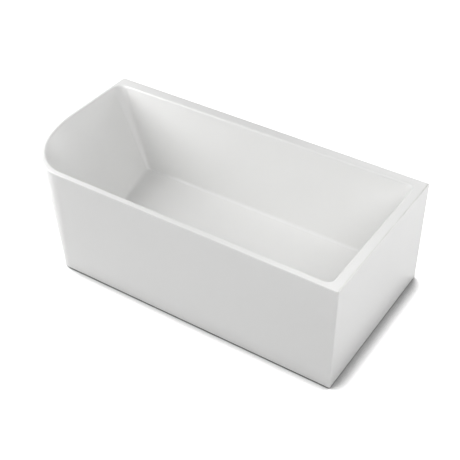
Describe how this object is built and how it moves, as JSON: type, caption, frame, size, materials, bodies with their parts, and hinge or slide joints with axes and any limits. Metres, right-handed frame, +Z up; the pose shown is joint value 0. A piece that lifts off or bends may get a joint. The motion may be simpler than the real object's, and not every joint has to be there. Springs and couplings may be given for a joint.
{
  "type": "corner bathtub",
  "caption": "Freestanding corner bathtub: white acrylic basin with a sloping backrest end and a rounded free corner, in a one-piece skirt, with pop-up waste, overflow and levelling feet.",
  "frame": {"origin": "on the floor under the middle of the rim's outline (the feet stand on z = 0)", "axes": "+X along the bath from the sloping free end to the flat wall end, +Y from the free front side to the flat wall side, +Z up"},
  "size_m": [1.7, 0.85, 0.545],
  "materials": {
    "white_acrylic": "glossy white sanitary acrylic",
    "board": "plain resin-sealed wood board",
    "galvanised_steel": "galvanised, slightly mottled",
    "zinc_plated_steel": "bright zinc plating",
    "black_plastic": "matt moulded",
    "black_rubber": "matt",
    "chrome": "polished chrome plate",
    "brass": "turned",
    "white_plastic": "semi-matt moulded",
    "grey_plastic": "flexible hose, satin"
  },
  "bodies": {
    "bath": {"back_rail": "galvanised_steel", "back_rim_batten": "board", "base_board": "board", "bath_shell": "white_acrylic", "board_screws": "zinc_plated_steel", "bracket_screws": "zinc_plated_steel", "cross_member_1": "galvanised_steel", "cross_member_2": "galvanised_steel", "cross_member_3": "galvanised_steel", "end_rim_batten": "board", "foot_lock_nuts": "zinc_plated_steel", "foot_weld_nuts": "zinc_plated_steel", "front_rail": "galvanised_steel", "hose_clips": "zinc_plated_steel", "lower_waste_gasket": "black_rubber", "outer_skirt": "white_acrylic", "overflow_body": "white_plastic", "overflow_cover": "chrome", "overflow_gasket": "black_rubber", "overflow_hose": "grey_plastic", "overflow_ring": "chrome", "skirt_bracket_back_1": "galvanised_steel", "skirt_bracket_back_2": "galvanised_steel", "skirt_bracket_back_3": "galvanised_steel", "skirt_bracket_front_1": "galvanised_steel", "skirt_bracket_front_2": "galvanised_steel", "skirt_bracket_front_3": "galvanised_steel", "skirt_bracket_left_1": "galvanised_steel", "skirt_bracket_left_2": "galvanised_steel", "skirt_bracket_right_1": "galvanised_steel", "skirt_bracket_right_2": "galvanised_steel", "upper_waste_gasket": "black_rubber", "waste_body": "white_plastic", "waste_flange": "chrome"},
    "plug": {"plug_cap": "chrome", "plug_seal": "black_rubber", "plug_stem": "brass"},
    "foot_1": {"foot_stud_1": "zinc_plated_steel", "foot_pad_1": "black_plastic"},
    "foot_2": {"foot_stud_2": "zinc_plated_steel", "foot_pad_2": "black_plastic"},
    "foot_3": {"foot_stud_3": "zinc_plated_steel", "foot_pad_3": "black_plastic"},
    "foot_4": {"foot_stud_4": "zinc_plated_steel", "foot_pad_4": "black_plastic"},
    "foot_5": {"foot_stud_5": "zinc_plated_steel", "foot_pad_5": "black_plastic"},
    "foot_6": {"foot_stud_6": "zinc_plated_steel", "foot_pad_6": "black_plastic"}
  },
  "joints": [
    {"name": "plug_lift", "type": "slide", "parent": "bath", "child": "plug", "axis": [0, 0, 1], "range_m": [0, 0.009]},
    {"name": "foot_1_level", "type": "slide", "parent": "bath", "child": "foot_1", "axis": [0, 0, -1], "range_m": [-0.005, 0.012]},
    {"name": "foot_2_level", "type": "slide", "parent": "bath", "child": "foot_2", "axis": [0, 0, -1], "range_m": [-0.005, 0.012]},
    {"name": "foot_3_level", "type": "slide", "parent": "bath", "child": "foot_3", "axis": [0, 0, -1], "range_m": [-0.005, 0.012]},
    {"name": "foot_4_level", "type": "slide", "parent": "bath", "child": "foot_4", "axis": [0, 0, -1], "range_m": [-0.005, 0.012]},
    {"name": "foot_5_level", "type": "slide", "parent": "bath", "child": "foot_5", "axis": [0, 0, -1], "range_m": [-0.005, 0.012]},
    {"name": "foot_6_level", "type": "slide", "parent": "bath", "child": "foot_6", "axis": [0, 0, -1], "range_m": [-0.005, 0.012]}
  ]
}
